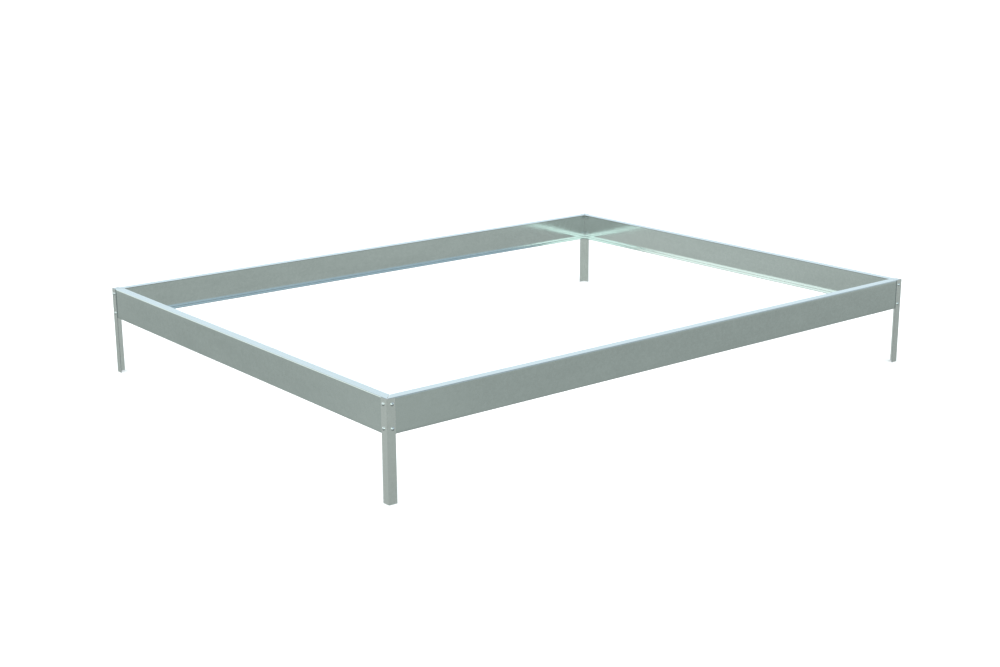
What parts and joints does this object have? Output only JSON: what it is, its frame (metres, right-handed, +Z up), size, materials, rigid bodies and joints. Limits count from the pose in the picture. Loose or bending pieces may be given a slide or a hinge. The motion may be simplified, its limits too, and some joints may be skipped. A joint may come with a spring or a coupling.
{
  "type": "raised planter frame",
  "caption": "Open rectangular raised planter frame: folded steel channel rails with mitred flanges, bolted to outside angle legs at the corners. No floor or lining.",
  "frame": {"origin": "on the ground under the middle of the frame", "axes": "+X along the long rails, +Y along the short rails, +Z up"},
  "size_m": [2.583, 1.953, 0.35],
  "materials": {
    "rail_sheet": "smooth galvanised sheet, semi-gloss",
    "leg_sheet": "smooth galvanised sheet, semi-gloss",
    "bolt_zinc": "bright zinc plate",
    "nut_zinc": "bright zinc plate"
  },
  "bodies": {
    "root": {"front_rail": "rail_sheet", "right_rail": "rail_sheet", "back_rail": "rail_sheet", "left_rail": "rail_sheet", "front_left_leg": "leg_sheet", "front_left_bolts": "bolt_zinc", "front_left_washers": "nut_zinc", "front_left_nuts": "nut_zinc", "front_right_leg": "leg_sheet", "front_right_bolts": "bolt_zinc", "front_right_washers": "nut_zinc", "front_right_nuts": "nut_zinc", "back_right_leg": "leg_sheet", "back_right_bolts": "bolt_zinc", "back_right_washers": "nut_zinc", "back_right_nuts": "nut_zinc", "back_left_leg": "leg_sheet", "back_left_bolts": "bolt_zinc", "back_left_washers": "nut_zinc", "back_left_nuts": "nut_zinc"}
  },
  "joints": []
}
